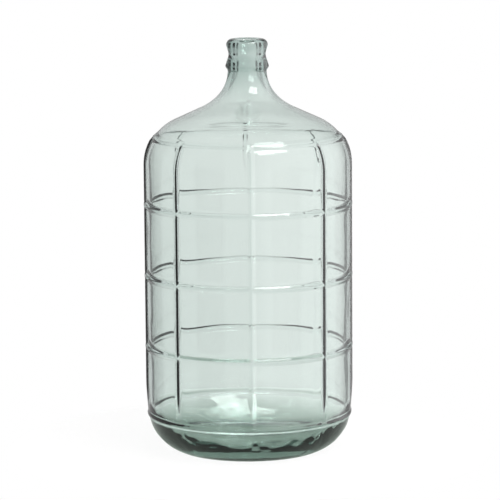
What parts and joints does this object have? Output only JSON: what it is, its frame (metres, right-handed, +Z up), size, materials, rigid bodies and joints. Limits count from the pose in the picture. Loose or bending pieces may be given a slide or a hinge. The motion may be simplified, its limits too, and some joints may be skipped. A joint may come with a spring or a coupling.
{
  "type": "demijohn",
  "caption": "Clear glass demijohn with a ribbed round body, domed shoulder, narrow neck with a collar and rolled lip, and a pushed-up base.",
  "frame": {"origin": "middle of the base, on the plane the bottle stands on", "axes": "+Z up the bottle's axis to the mouth, -Y to the viewer"},
  "size_m": [0.2589, 0.259, 0.5125],
  "materials": {
    "glass": "clear gloss, faint green tint"
  },
  "bodies": {
    "root": {"glass_bottle": "glass"}
  },
  "joints": []
}
